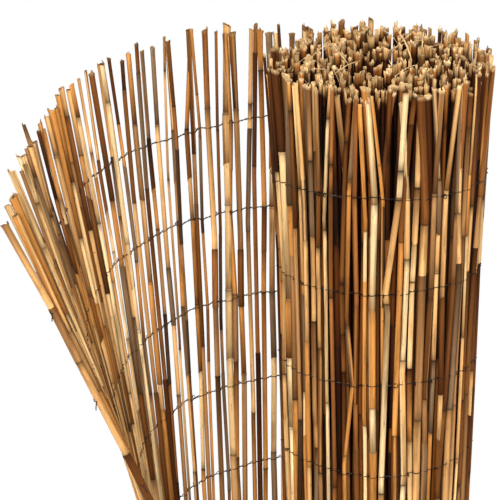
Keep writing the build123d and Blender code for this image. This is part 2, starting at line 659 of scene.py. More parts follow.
    def _stretch(self, face: bpy.types.MeshPolygon) -> int:
        """Number of the stretch that a face belongs to.

        Args:
            face: the face.

        Returns:
            The stretch, or the number that stands for the cut wall or the hollow.
        """
        height = face.center.z
        top = self.heights[-1]
        if height > top - TOLERANCE:
            return self.stretches
        corners = self.corners[list(face.vertices)]
        spread = np.hypot(corners[:, 0], corners[:, 1]).max()
        inside = spread < self.radius * self.rings[-1].width - self.wall / 2
        if inside and height > top - self.hollow_depth - TOLERANCE:
            return self.stretches + 1
        below = int(np.searchsorted(self.heights, height + self.ring_tolerance)) - 1
        return self.rings[min(max(below, 0), len(self.rings) - 2)].stretch

    def remove(self) -> None:
        """Take the model out of the scene once its copies are made."""
        mesh = self.piece.data
        bpy.data.objects.remove(self.piece)
        bpy.data.meshes.remove(mesh)


@dataclass
class Crossing:
    """Where a row of wire passes one reed: point on its middle line, outer side, axis and radius."""

    middle: Vector
    outward: Vector
    axis: Vector
    radius: float


@dataclass
class StemRoute:
    """The line one stem follows: shares of its length, the points there, its outer side and width.

    The span is its length as a share of the mean length at its place. The lightness is less than 1 where
    shade is painted on it below its tip, and the paleness where its cut end has weathered.
    """

    shares: np.ndarray
    points: np.ndarray
    outward: Vector
    radius: float
    family: StemFamily
    span: float = 1.0
    # How light the stem stays under the painted shade below its tip; 1 is no painted shade
    painted_shade_lightness: float = 1.0
    paleness: float = 1.0

    @property
    def axis(self) -> Vector:
        """Direction from the foot to the tip."""
        return Vector(self.points[-1] - self.points[0]).normalized()

    def crossing(self, share: float) -> Crossing:
        """Where a row of wire passes the stem, at a share of its length."""
        middle = Vector([np.interp(share, self.shares, self.points[:, axis]) for axis in range(3)])
        return Crossing(middle, self.outward, self.axis, self.radius * WIRE_SEAT)


@dataclass
class StemMaker:
    """Models the stems and makes bent, coloured copies of them."""

    rng: np.random.Generator
    full_models: int = 12
    plain_models: int = 6
    full_sides: int = 8
    plain_sides: int = 6
    sheath_slant: float = 4.0 * MM
    crush: Span = (-0.4, 0.3)
    cut_slant: float = 0.45
    ragged: float = 0.7 * MM
    ragged_share: float = 0.9
    grain_drift: float = 50.0
    mark_strength: Span = (0.6, 1.1)
    slit_chance: float = 0.45
    # How light the bare cane in a sheath's slit stays under painted shade
    slit_lightness_in_painted_shade: float = 0.8
    other_tone_chance: float = 0.35
    dark_tip_chance: float = 0.1
    dark_end: Span = (0.18, 0.9)
    light_end: Span = (0.9, 1.15)
    dark_above_chance: float = 0.3
    pith_light: Span = (0.5, 1.15)
    pale_rim: float = 0.72
    full: list[StemModel] = field(default_factory=list)
    plain: list[StemModel] = field(default_factory=list)

    def build(self) -> None:
        """Model the stems that the copies are made from."""
        plan = StemPlan(self.rng)
        for number in range(self.full_models):
            rings, sheathed = plan.full()
            model = StemModel(f"stem_{number}", rings, sheathed, self.full_sides, plan.frays())
            self.full.append(model)
        for number in range(self.plain_models):
            rings, sheathed = plan.plain()
            model = StemModel(f"inner_stem_{number}", rings, sheathed, self.plain_sides, plan.frays())
            self.plain.append(model)

    def copy(self, model: StemModel, route: StemRoute, name: str) -> Piece:
        """Make one stem along a route.

        Args:
            model: the stem to copy.
            route: the line that the copy follows.
            name: name of the copy.

        Returns:
            The copy, with its colours in its mesh.
        """
        mesh = model.piece.data.copy()
        stem = bpy.data.objects.new(name, mesh)
        bpy.context.scene.collection.objects.link(stem)
        self._bend(model, route, mesh)
        self._colour(model, route, mesh)
        drift = self.rng.uniform(-self.grain_drift, self.grain_drift, 3)
        mesh.attributes[GRAIN_LAYER].data.foreach_set("vector", (model.corners + drift).ravel())
        marks = model.marks * self.rng.uniform(*self.mark_strength)
        mesh.attributes[MARK_LAYER].data.foreach_set("value", marks)
        return stem

    def _bend(self, model: StemModel, route: StemRoute, mesh: bpy.types.Mesh) -> None:
        """Lay a copy's corners along its route, with a slanting, crushed and ragged cut end.

        Args:
            model: the stem that is copied.
            route: the line that the copy follows.
            mesh: the copy's mesh.
        """
        rng = self.rng
        axis = np.array(route.axis)
        facing = np.array(route.outward) - axis * np.dot(np.array(route.outward), axis)
        facing /= np.linalg.norm(facing)
        side = np.cross(axis, facing)
        turn = rng.uniform(0, FULL_TURN)
        cos_turn, sin_turn = math.cos(turn), math.sin(turn)
        scale = route.radius / model.radius
        x = scale * (model.corners[:, 0] * cos_turn - model.corners[:, 1] * sin_turn)
        y = scale * (model.corners[:, 0] * sin_turn + model.corners[:, 1] * cos_turn)
        crush = model.tip_share * rng.uniform(*self.crush)
        x *= 1 + crush
        y *= 1 - crush
        slant = rng.uniform(-self.cut_slant, self.cut_slant, 2)
        ragged = rng.uniform(-self.ragged, self.ragged, len(x)) * (model.tip_share > self.ragged_share)
        z = model.corners[:, 2] + model.tip_share * (slant[0] * x + slant[1] * y) + ragged
        z += model.slants * self.sheath_slant * x / route.radius
        length = np.linalg.norm(route.points[-1] - route.points[0])
        middle = np.stack([np.interp(z, route.shares, route.points[:, i]) for i in range(3)], 1)
        middle += np.maximum(z - 1, 0)[:, None] * axis * length
        places = middle + x[:, None] * facing + y[:, None] * side
        places[:, 2] = np.maximum(places[:, 2], 0.0)
        mesh.vertices.foreach_set("co", places.ravel())
        mesh.update()

    def _colour(self, model: StemModel, route: StemRoute, mesh: bpy.types.Mesh) -> None:
        """Colour a copy: a tone for each stretch, slits in its sheaths with painted shade, a pale cut end,
        painted shade below it.

        Args:
            model: the stem that is copied.
            route: the line that the copy follows, with its family of tones.
            mesh: the copy's mesh.
        """
        rng = self.rng
        bare, sheath = route.family.bare(), route.family.sheath()
        own_bare = bare[rng.integers(len(bare))]
        own_sheath = sheath[rng.integers(len(sheath))]
        dark_above = rng.random() < self.dark_above_chance
        lower, upper = [], []
        slit = np.zeros(len(model.loop_stretch), bool)
        for stretch, covered in enumerate(model.sheathed):
            tones = sheath if covered else bare
            tone = own_sheath if covered else own_bare
            if rng.random() < self.other_tone_chance:
                tone = tones[rng.integers(len(tones))]
            if stretch == model.rings[-1].stretch and rng.random() < self.dark_tip_chance:
                tone = StemTone.UMBER
            ends = [tone.shaded(rng.uniform(*span)) for span in (self.dark_end, self.light_end)]
            if dark_above:
                ends.reverse()
            lower.append(ends[0])
            upper.append(ends[1])
            if covered and rng.random() < self.slit_chance:
                slit |= (model.loop_stretch == stretch) & (model.loop_side == rng.integers(model.sides))
        pith = StemTone.PITH.shaded(rng.uniform(*self.pith_light) * route.paleness)
        # Painted shade: the inside of the hollow is coloured dark brown for the shade down the tube
        hollow = StemTone.HOLLOW.linear()
        low = np.array([*lower, pith, hollow])[model.loop_stretch]
        high = np.array([*upper, pith, hollow])[model.loop_stretch]
        share = model.loop_share[:, None]
        colours = low * (1 - share) + high * share
        # Slits show the bare cane's own tone, darkened as painted shade where it lies under the sheath
        colours[slit] = own_bare.linear() * (*[self.slit_lightness_in_painted_shade] * 3, 1)
        height = model.corners[model.loop_corner, 2]
        rim = height > 1 - TOLERANCE
        colours[rim] += (pith - colours[rim]) * self.pale_rim * route.paleness
        # Painted shade: below its tip a stem darkens and grows browner, down to the share of light its
        # route keeps
        depth = np.clip((1 - height) / TIP_ABOVE_PAINTED_SHADE, 0, 1)
        colours[:, :3] *= (1 - depth * (1 - route.painted_shade_lightness))[:, None] ** PAINTED_SHADE_POWERS
        mesh.attributes[COLOUR_LAYER].data.foreach_set("color", colours.ravel())

    def remove(self) -> None:
        """Take all models out of the scene."""
        for model in self.full + self.plain:
            model.remove()


@dataclass(frozen=True)
class Grain:
    """Noise that is drawn out along a stem: its scale, the share of that along the stem, and its detail."""

    scale: float
    along: float
    detail: float


class NodeTree:
    """Short ways to add and link shader nodes."""

    def __init__(self, tree: bpy.types.NodeTree) -> None:
        """Work on one tree."""
        self.tree = tree

    def add(self, kind: str, **settings: object) -> bpy.types.Node:
        """Add a node.

        Args:
            kind: the node's type.
            settings: its properties.

        Returns:
            The node.
        """
        node = self.tree.nodes.new(kind)
        for key, value in settings.items():
            setattr(node, key, value)
        return node

    def link(self, source: Socket, target: Socket) -> None:
        """Link two sockets."""
        self.tree.links.new(source, target)

    def feed(self, value: object, target: Socket) -> None:
        """Link a socket to another, or set it to a plain value.

        Args:
            value: a socket or a plain value.
            target: the socket that takes it.
        """
        if isinstance(value, Socket):
            self.link(value, target)
        else:
            target.default_value = value

    def ranged(self, source: Socket, start: Span, end: Span = (0, 1)) -> Socket:
        """A value brought from one range to another and held there.

        Args:
            source: the value.
            start: the range that it has.
            end: the range that it gets.

        Returns:
            The new value.
        """
        node = self.add("ShaderNodeMapRange", clamp=True)
        for socket, value in zip(("From Min", "From Max", "To Min", "To Max"), (*start, *end)):
            node.inputs[socket].default_value = value
        self.link(source, node.inputs["Value"])
        return node.outputs["Result"]

    def noise(self, place: Socket, grain: Grain) -> Socket:
        """Noise from 0 to 1.

        Args:
            place: where on the stem it is read, with the third number along the stem.
            grain: its scale, stretch and detail.

        Returns:
            The noise.
        """
        stretched = self.add("ShaderNodeVectorMath", operation="MULTIPLY")
        stretched.inputs[1].default_value = (1, 1, grain.along)
        self.link(place, stretched.inputs[0])
        node = self.add("ShaderNodeTexNoise")
        node.inputs["Scale"].default_value = grain.scale
        node.inputs["Detail"].default_value = grain.detail
        self.link(stretched.outputs[0], node.inputs["Vector"])
        return node.outputs["Fac"]

    def math(self, operation: str, first: object, second: object) -> Socket:
        """Two values combined.

        Args:
            operation: how, as a math node names it.
            first: a socket or a number.
            second: a socket or a number.

        Returns:
            The new value.
        """
        node = self.add("ShaderNodeMath", operation=operation)
        self.feed(first, node.inputs[0])
        self.feed(second, node.inputs[1])
        return node.outputs[0]

    def mix(self, share: Socket, first: object, second: object) -> Socket:
        """Two colours mixed.

        Args:
            share: the share of the second colour.
            first: a socket or a colour.
            second: a socket or a colour.

        Returns:
            The mixed colour.
        """
        node = self.add("ShaderNodeMix", data_type="RGBA")
        self.feed(share, node.inputs["Factor"])
        # The mix node has sockets for other kinds of value first
        self.feed(first, node.inputs[6])
        self.feed(second, node.inputs[7])
        return node.outputs[2]


def new_material(name: str) -> tuple[bpy.types.Material, NodeTree, bpy.types.Node]:
    """Start a material with nodes.

    Args:
        name: name of the material.

    Returns:
        The material, its tree and its shader.
    """
    material = bpy.data.materials.new(name)
    material.use_nodes = True
    return material, NodeTree(material.node_tree), material.node_tree.nodes["Principled BSDF"]


@dataclass
class EffectGroups:
    """Shader effects that are built once and placed in the materials.

    A range is the part of a noise that is kept; what lies below or above it is held at 0 or 1.
    """

    broad_fibres: Grain = Grain(scale=430, along=0.02, detail=2)
    fine_fibres: Grain = Grain(scale=1700, along=0.012, detail=3)
    broad_share: float = 0.6
    streak_range: Span = (0.32, 0.68)
    ridge_range: Span = (0.3, 0.7)
    patches: Grain = Grain(scale=180, along=0.12, detail=3)
    patch_range: Span = (0.52, 0.75)
    specks: Grain = Grain(scale=700, along=0.35, detail=2)
    speck_range: Span = (0.66, 0.76)

    def __post_init__(self) -> None:
        """Build the groups."""
        self.fibres = self._fibres()
        self.stains = self._stains()

    @staticmethod
    def _new(name: str, outputs: tuple[str, ...]) -> tuple[NodeTree, Socket, bpy.types.Node]:
        """Start a group that reads the grain of a stem.

        Args:
            name: name of the group.
            outputs: names of the values that it puts out.

        Returns:
            Its tree, the grain and the node that takes what the group puts out.
        """
        group = bpy.data.node_groups.new(name, "ShaderNodeTree")
        group.interface.new_socket("Grain", in_out="INPUT", socket_type="NodeSocketVector")
        for label in outputs:
            group.interface.new_socket(label, in_out="OUTPUT", socket_type="NodeSocketFloat")
        tree = NodeTree(group)
        return tree, tree.add("NodeGroupInput").outputs["Grain"], tree.add("NodeGroupOutput")

    def _fibres(self) -> bpy.types.NodeTree:
        """Build the fine streaks that run along a stem.

        Returns:
            The group.
        """
        tree, place, target = self._new("fibres", ("Streak", "Ridges"))
        broad = tree.noise(place, self.broad_fibres)
        fine = tree.noise(place, self.fine_fibres)
        broad_part = tree.math("MULTIPLY", broad, self.broad_share)
        fine_part = tree.math("MULTIPLY", fine, 1 - self.broad_share)
        both = tree.math("ADD", broad_part, fine_part)
        tree.link(tree.ranged(both, self.streak_range), target.inputs["Streak"])
        tree.link(tree.ranged(fine, self.ridge_range), target.inputs["Ridges"])
        return tree.tree

    def _stains(self) -> bpy.types.NodeTree:
        """Build weather stains in long patches and small specks.

        Returns:
            The group.
        """
        tree, place, target = self._new("stains", ("Patch", "Specks"))
        patch = tree.noise(place, self.patches)
        specks = tree.noise(place, self.specks)
        tree.link(tree.ranged(patch, self.patch_range), target.inputs["Patch"])
        tree.link(tree.ranged(specks, self.speck_range), target.inputs["Specks"])
        return tree.tree


@dataclass(frozen=True)
class ReedFinish:
    """Dry reed: streaked cane and sheaths, dark at the nodes, pale where it is cut."""

    groups: EffectGroups
    stain: Screen = (64, 34, 12)
    node: Screen = (34, 19, 9)
    streak_light: Span = (0.5, 1.26)
    stain_share: float = 0.62
    node_share: float = 0.9
    speck_share: float = 0.7
    streak_roughness: float = 0.14
    specular: float = 0.08
    fibre_strength: float = 0.5
    fibre_depth: float = 0.3 * MM

    def material(self) -> bpy.types.Material:
        """Build the material.

        Returns:
            The material.
        """
        material, tree, shader = new_material("reed")
        shader.inputs["Specular IOR Level"].default_value = self.specular
        colour = tree.add("ShaderNodeAttribute", attribute_name=COLOUR_LAYER)
        grain = tree.add("ShaderNodeAttribute", attribute_name=GRAIN_LAYER)
        mark = tree.add("ShaderNodeAttribute", attribute_name=MARK_LAYER)
        fibres = tree.add("ShaderNodeGroup", node_tree=self.groups.fibres)
        stains = tree.add("ShaderNodeGroup", node_tree=self.groups.stains)
        tree.link(grain.outputs["Vector"], fibres.inputs["Grain"])
        tree.link(grain.outputs["Vector"], stains.inputs["Grain"])
        streak = fibres.outputs["Streak"]
        shaded = tree.add("ShaderNodeVectorMath", operation="SCALE")
        tree.link(colour.outputs["Color"], shaded.inputs[0])
        tree.link(tree.ranged(streak, (0, 1), self.streak_light), shaded.inputs["Scale"])
        patch = tree.math("MULTIPLY", stains.outputs["Patch"], self.stain_share)
        stained = tree.mix(patch, shaded.outputs[0], opaque(self.stain))
        ringed = tree.math("MULTIPLY", mark.outputs["Fac"], self.node_share)
        specks = tree.math("MULTIPLY", stains.outputs["Specks"], self.speck_share)
        final = tree.mix(tree.math("MAXIMUM", ringed, specks), stained, opaque(self.node))
        tree.link(final, shader.inputs["Base Color"])
        dry = tree.math("MULTIPLY", streak, self.streak_roughness)
        tree.link(tree.math("ADD", colour.outputs["Alpha"], dry), shader.inputs["Roughness"])
        bump = tree.add("ShaderNodeBump")
        bump.inputs["Strength"].default_value = self.fibre_strength
        bump.inputs["Distance"].default_value = self.fibre_depth
        tree.link(fibres.outputs["Ridges"], bump.inputs["Height"])
        tree.link(bump.outputs["Normal"], shader.inputs["Normal"])
        return material


@dataclass(frozen=True)
class WireFinish:
    """Thin dark iron wire, dull, with brown rust in places; the spans go from iron to rust."""

    groups: EffectGroups
    iron: Screen = (36, 29, 24)
    rust: Screen = (78, 46, 28)
    metallic: Span = (0.7, 0.15)
    roughness: Span = (0.45, 0.8)

    def material(self) -> bpy.types.Material:
        """Build the material.

        Returns:
            The material.
        """
        material, tree, shader = new_material("binding_wire")
        place = tree.add("ShaderNodeTexCoord")
        stains = tree.add("ShaderNodeGroup", node_tree=self.groups.stains)
        tree.link(place.outputs["Object"], stains.inputs["Grain"])
        patch = stains.outputs["Patch"]
        tree.link(tree.mix(patch, opaque(self.iron), opaque(self.rust)), shader.inputs["Base Color"])
        tree.link(tree.ranged(patch, (0, 1), self.metallic), shader.inputs["Metallic"])
        tree.link(tree.ranged(patch, (0, 1), self.roughness), shader.inputs["Roughness"])
        return material


@dataclass
class RolledTurns:
    """The wound turns: outer turns with full stems, inner turns with plain ones.

    Weights are those of the pale, golden, tawny and dark family; the stems of the second turn are drawn
    from darker families, and all stems behind the outermost turn darken below their tips, as painted shade.
    The tips rise and fall by the shares of tip_rise_shares: the least, the likeliest and the most.
    """

    shape: MatShape
    maker: StemMaker
    outer_turns: float = 2.0
    radius_middle: float = 2.45 * MM
    radius_spread: float = 0.62 * MM
    radius_range: Span = (1.5 * MM, 4.2 * MM)
    broad_chance: float = 0.08
    broad_radius: Span = (3.5 * MM, 4.4 * MM)
    depth_spread: float = 0.8 * MM
    side_spread: float = 1.0 * MM
    sway: float = 2.6 * MM
    depth_sway: float = 0.6 * MM
    foot_depth_share: float = 0.4
    leaning_chance: float = 0.22
    leaning_sway: float = 8.0 * MM
    leaning_lift: float = 2.2 * MM
    tip_sway: float = 6.0 * MM
    tip_depth_share: float = 0.35
    most_tip_sway: float = 12 * MM
    tip_flare: float = 5.0 * MM
    behind_flare: float = 3.0 * MM
    flare_at_wire: float = 0.4
    tip_rise: float = 7.0 * MM
    inner_tip_rise: float = 8.5 * MM
    tip_rise_shares: Triple = (-2.3, 0.3, 1.0)
    inner_sway: float = 2.5 * MM
    inner_bend: float = 0.9
    inner_bend_share: float = 0.35
    front_weights: tuple[float, ...] = (0.3, 0.27, 0.25, 0.18)
    # Darker families for the second turn: painted shade in the gaps between the outermost stems
    behind_painted_shade_weights: tuple[float, ...] = (0.1, 0.2, 0.32, 0.38)
    inner_weights: tuple[float, ...] = (0.3, 0.26, 0.2, 0.24)
    # How light the stems of the second turn and of the inner turns stay under painted shade below their
    # tips
    behind_painted_shade_lightness: float = 0.34
    inner_painted_shade_lightness: float = 0.05
    inner_slimness: float = 0.93
    wire_start: float = 0.1
    routes: list[StemRoute] = field(default_factory=list)
    angles: list[float] = field(default_factory=list)

    def build(self, reed: bpy.types.Material) -> list[Piece]:
        """Make all wound stems.

        Args:
            reed: the reeds' material.

        Returns:
            The outer and the inner piece.
        """
        outer, inner = [], []
        first_outer = self.shape.departure - self.outer_turns * FULL_TURN
        self.angles = self.shape.roll_angles()
        for number, angle in enumerate(self.angles):
            shows = angle > first_outer
            route = self._route(angle, shows)
            self.routes.append(route)
            models = self.maker.full if shows else self.maker.plain
            model = models[self.maker.rng.integers(len(models))]
            stem = self.maker.copy(model, route, f"wound_{number}")
            (outer if shows else inner).append(stem)
        pieces = [join_pieces(outer, "reeds_outer_turns"), join_pieces(inner, "reeds_inner_turns")]
        self.dress(pieces, reed)
        return pieces

    def _route(self, angle: float, shows: bool) -> StemRoute:
        """Line of one wound stem, pushed about a little at its ends and between the rows of wire.

        Args:
            angle: angle of the stem about the roll's axis, counted along the mat.
            shows: whether it is in the outer turns.

        Returns:
            The line, with the stem's width and colours.
        """
        rng = self.maker.rng
        shape = self.shape
        radius = self._radius(shows)
        turn_radius = shape.turn_radius(angle) + rng.uniform(-self.depth_spread, self.depth_spread)
        aside = rng.uniform(-self.side_spread, self.side_spread) / turn_radius
        foot, tip = shape.roll_ends(angle + aside, turn_radius)
        outward = Vector((math.cos(angle), math.sin(angle), 0))
        sideways = Vector((-outward.y, outward.x, 0))
        rise = self.tip_rise if shows else self.inner_tip_rise
        tip.z += float(rng.triangular(*self.tip_rise_shares)) * rise
        # Stems behind the outermost turn get painted shade below their tips, and the second turn darker
        # families
        weights, painted_shade_lightness = self.inner_weights, self.inner_painted_shade_lightness
        outermost = angle > shape.departure - FULL_TURN
        if outermost:
            weights, painted_shade_lightness = self.front_weights, 1.0
        elif shows:
            weights, painted_shade_lightness = self.behind_painted_shade_weights, self.behind_painted_shade_lightness
        if shows:
            shares, offsets = self._held_offsets(tip.z, outermost)
        else:
            shares = np.array((0.0, self.inner_bend, 1.0))
            lean = rng.normal(0, self.inner_sway, 2)
            offsets = np.array(((0, 0), lean * self.inner_bend_share, lean))
        points = pushed_line((foot, tip), (sideways, outward), shares, offsets)
        family = StemFamily.drawn(rng, weights)
        return StemRoute(shares, points, outward, radius, family, painted_shade_lightness=painted_shade_lightness)

    def _radius(self, shows: bool) -> float:
        """Draw a stem's radius.

        Args:
            shows: whether the stem is in the outer turns.

        Returns:
            The radius, now and then a broad one.
        """
        rng = self.maker.rng
        radius = float(np.clip(rng.normal(self.radius_middle, self.radius_spread), *self.radius_range))
        if rng.random() < self.broad_chance:
            radius = float(rng.uniform(*self.broad_radius))
        return radius if shows else radius * self.inner_slimness

    def _held_offsets(self, top: float, outermost: bool) -> tuple[np.ndarray, np.ndarray]:
        """How a stem that each row of wire holds is pushed about; some stems lean over others.

        Args:
            top: height of its tip.
            outermost: whether it is in the outermost turn.

        Returns:
            Shares of its length, and the sideways and outward offset at each.
        """
        rng = self.maker.rng
        rows = self.shape.wire_rows
        heights = [self.shape.row_level(row) for row in reversed(range(rows))]
        shares = np.array([0.0, *[height / top for height in heights], 1.0])
        offsets = np.zeros((len(shares), 2))
        sway, lift, flare = self.sway, 0.0, self.behind_flare
        if outermost:
            flare = self.tip_flare
            if rng.random() < self.leaning_chance:
                sway, lift = self.leaning_sway, self.leaning_lift
        offsets[1:-1, 0] = rng.uniform(-sway, sway, rows)
        offsets[1:-1, 1] = rng.uniform(-self.depth_sway, self.depth_sway, rows) + lift
        offsets[0] = rng.uniform(-self.sway, self.sway, 2) * (1, self.foot_depth_share)
        lean = rng.normal(0, self.tip_sway, 2) * (1, self.tip_depth_share)
        offsets[-1] = offsets[-2] + np.clip(lean, -self.most_tip_sway, self.most_tip_sway)
        offsets[-2:, 1] += flare * np.array((self.flare_at_wire, 1.0))
        return shares, offsets

    def crossings(self, row: int, climb: float) -> list[Crossing]:
        """Where a row of wire crosses the outermost turn.

        Args:
            row: number of the row, from the top.
            climb: how much higher the row is at the back, where it goes on to the loose turn.

        Returns:
            The crossings, in the order of the mat.
        """
        departure = self.shape.departure
        found = []
        for angle, route in zip(self.angles, self.routes):
            if angle < departure - FULL_TURN + self.wire_start:
                continue
            share = 1 - (departure - angle) / departure
            height = self.shape.row_level(row) + climb * smoothstep(share)
            found.append(route.crossing(height / route.points[-1][2]))
        return found

    @staticmethod
    def dress(pieces: list[Piece], reed: bpy.types.Material) -> None:
        """Give the pieces their finish and their place in the frame."""
        for piece in pieces:
            set_in_frame(piece, reed, "rolled_turns")


@dataclass
class LooseTurn:
    """The last turn, let loose: one row of full stems with light between them.

    Weights are those of the pale, golden, tawny and dark family. The cut line rises and falls by cut_rises
    at the places of cut_places, which are numbers of reeds counted from the roll.
    """

    shape: MatShape
    maker: StemMaker
    reeds: int = 64
    radius_middle: float = 2.5 * MM
    radius_spread: float = 0.45 * MM
    radius_range: Span = (1.4 * MM, 4.4 * MM)
    broad_chance: float = 0.06
    near_roll: int = 6
    near_roll_chance: float = 0.5
    broad_radius: Span = (3.3 * MM, 4.1 * MM)
    end_reeds: int = 4
    end_families: tuple[StemFamily, ...] = (StemFamily.PALE, StemFamily.GOLDEN)
    place_spread: float = 0.3
    sway: float = 2.4 * MM
    depth_sway: float = 0.5 * MM
    tip_sway: float = 5.0 * MM
    tip_depth_share: float = 0.4
    most_tip_sway: float = 9 * MM
    tip_spread: float = 7.0 * MM
    cut_places: tuple[float, ...] = (0, 9, 15, 27, 30, 53)
    cut_rises: tuple[float, ...] = (-11 * MM, -6 * MM, 4 * MM, 8 * MM, 3 * MM, 2 * MM)
    # Near the roll the mix leans to darker families: partly the reeds' own tones, partly painted shade on
    # that end of the loose turn
    weights_at_roll_with_painted_shade: tuple[float, ...] = (0.06, 0.24, 0.46, 0.24)
    weights_at_end: tuple[float, ...] = (0.56, 0.34, 0.08, 0.02)
    weights_power: float = 1.5
    cut_paleness: float = 0.5
    routes: list[StemRoute] = field(default_factory=list)
    places: list[float] = field(default_factory=list)

    def build(self, reed: bpy.types.Material) -> Piece:
        """Make the loose stems.

        Args:
            reed: the reeds' material.

        Returns:
            The piece.
        """
        rng = self.maker.rng
        stems = []
        step = (self.shape.loose_reeds - 1) / (self.reeds - 1)
        for index in range(self.reeds):
            place = step * (index + rng.uniform(-1, 1) * self.place_spread)
            route = self._route(place, index >= self.reeds - self.end_reeds)
            self.places.append(place)
            self.routes.append(route)
            model = self.maker.full[rng.integers(len(self.maker.full))]
            stems.append(self.maker.copy(model, route, f"loose_{index}"))
        piece = join_pieces(stems, "reeds_loose_turn")
        self.dress(piece, reed)
        return piece

    def _route(self, place: float, at_end: bool) -> StemRoute:
        """Line of one loose stem, pushed about between the rows of wire.

        Args:
            place: where it stands, as a number of reeds counted from the roll.
            at_end: whether it is one of the broad, pale stems at the free end.

        Returns:
            The line, with the stem's width and colours.
        """
        rng = self.maker.rng
        shape = self.shape
        foot, tip = shape.loose_ends(place)
        before, after = shape.loose_ends(place - 0.5), shape.loose_ends(place + 0.5)
        sideways = (after[1] + after[0] - before[1] - before[0]).normalized()
        outward = sideways.cross(tip - foot).normalized()
        length = (tip - foot).length
        rise = np.interp(place, self.cut_places, self.cut_rises) + rng.uniform(-1, 1) * self.tip_spread
        end = 1 + float(rise) / length
        drops = [shape.row_drop(row) for row in reversed(range(shape.wire_rows))]
        shares = np.array([0.0, *[1 - drop / length for drop in drops], end])
        offsets = np.zeros((len(shares), 2))
        offsets[1:-1, 0] = rng.uniform(-self.sway, self.sway, shape.wire_rows)
        offsets[1:-1, 1] = rng.uniform(-self.depth_sway, self.depth_sway, shape.wire_rows)
        lean = rng.normal(0, self.tip_sway, 2) * (1, self.tip_depth_share)
        offsets[-1] = offsets[-2] + np.clip(lean, -self.most_tip_sway, self.most_tip_sway)
        points = pushed_line((foot, tip), (sideways, outward), shares, offsets)
        radius = float(np.clip(rng.normal(self.radius_middle, self.radius_spread), *self.radius_range))
        share = min(max(place / (shape.loose_reeds - 1), 0), 1) ** self.weights_power
        weights = (1 - share) * np.array(self.weights_at_roll_with_painted_shade) + share * np.array(self.weights_at_end)
        family = StemFamily.drawn(rng, weights)
        if at_end:
            family = self.end_families[rng.integers(len(self.end_families))]
        broad_chance = self.near_roll_chance if place < self.near_roll else self.broad_chance
        if at_end or rng.random() < broad_chance:
            radius = float(rng.uniform(*self.broad_radius))
        return StemRoute(
            shares / end, points, outward, radius, family, span=end, paleness=self.cut_paleness
        )

    def row_height(self, row: int) -> float:
        """Height at which a row of wire reaches the loose turn."""
        foot, tip = self.shape.loose_ends(0)
        return (tip - (tip - foot).normalized() * self.shape.row_drop(row)).z

    def crossings(self, row: int) -> list[Crossing]:
        """Where a row of wire crosses the loose stems.

        Args:
            row: number of the row, from the top.

        Returns:
            The crossings, from the roll to the free end.
        """
        found = []
        for place, route in zip(self.places, self.routes):
            foot, tip = self.shape.loose_ends(place)
            share = 1 - self.shape.row_drop(row) / (tip - foot).length
            found.append(route.crossing(share / route.span))
        return found

    @staticmethod
    def dress(piece: Piece, reed: bpy.types.Material) -> None:
        """Give the piece its finish and its place in the frame."""
        set_in_frame(piece, reed, "loose_turn")


@dataclass
class Shreds:
    """Torn strips of leaf sheath that are caught between the cut ends of the roll."""

    shape: MatShape
    rng: np.random.Generator
    count: int = 18
    length: Span = (18 * MM, 40 * MM)
    width: Span = (0.8 * MM, 1.9 * MM)
    thickness: float = 0.3 * MM
    cuts: int = 6
    taper: float = 0.6
    bow: Span = (0.03, 0.14)
    tilt: Span = (math.radians(12), math.radians(48))
    sunk_share: float = 0.4
    reach: Span = (34 * MM, 82 * MM)
    tones: tuple[StemTone, ...] = (StemTone.CREAM, StemTone.PITH, StemTone.STRAW)

    def build(self, reed: bpy.types.Material) -> Piece:
        """Make the strips.

        Args:
            reed: the reeds' material.

        Returns:
            The piece.
        """
        piece = join_pieces([self._strip() for _ in range(self.count)], "reed_shreds")
        self.dress(piece, reed)
        return piece

    def _strip(self) -> Piece:
        """Make one bowed strip, thin at its ends, with part of its length sunk between the stems.

        Returns:
            The strip.
        """
        rng = self.rng
        deselect_all()
        bpy.ops.mesh.primitive_grid_add(x_subdivisions=self.cuts, y_subdivisions=1, size=1)
        strip = bpy.context.object
        length, width, bow = (rng.uniform(*span) for span in (self.length, self.width, self.bow))
        for corner in strip.data.vertices:
            middle = 1 - (2 * corner.co.x) ** 2
            narrowed = width * (1 - self.taper * (1 - middle))
            corner.co = (corner.co.x * length, corner.co.y * narrowed, bow * length * middle)
        solid = strip.modifiers.new("thickness", "SOLIDIFY")
        solid.thickness = self.thickness
        bpy.ops.object.modifier_apply(modifier=solid.name)
        strip.data.transform(self._place(length))
        self._colour(strip.data)
        return strip

    def _place(self, length: float) -> Matrix:
        """Draw where a strip leans, on the sloping cut of the roll.

        Args:
            length: length of the strip.

        Returns:
            Its place.
        """
        rng = self.rng
        angle, radius = rng.uniform(0, FULL_TURN), rng.uniform(*self.reach)
        x, y = radius * math.cos(angle), radius * math.sin(angle)
        tilt = rng.uniform(*self.tilt)
        height = self.shape.cut_height(y) + (0.5 - self.sunk_share) * length * math.sin(tilt)
        lean = Matrix.Rotation(rng.uniform(0, FULL_TURN), 4, "Z") @ Matrix.Rotation(-tilt, 4, "Y")
        return Matrix.Translation((x, y, height)) @ lean

    def _colour(self, mesh: bpy.types.Mesh) -> None:
        """Give a strip one pale tone, and its place in the grain.

        Args:
            mesh: the strip's mesh.
        """
        tone = self.tones[self.rng.integers(len(self.tones))].linear()
        colour = mesh.attributes.new(COLOUR_LAYER, "FLOAT_COLOR", "CORNER")
        colour.data.foreach_set("color", np.tile(tone, len(mesh.loops)))
        grain = mesh.attributes.new(GRAIN_LAYER, "FLOAT_VECTOR", "POINT")
        grain.data.foreach_set("vector", np.ravel([corner.co for corner in mesh.vertices]))
        mesh.attributes.new(MARK_LAYER, "FLOAT", "POINT")

    @staticmethod
    def dress(piece: Piece, reed: bpy.types.Material) -> None:
        """Give the strips their finish and their place in the frame."""
        set_in_frame(piece, reed)


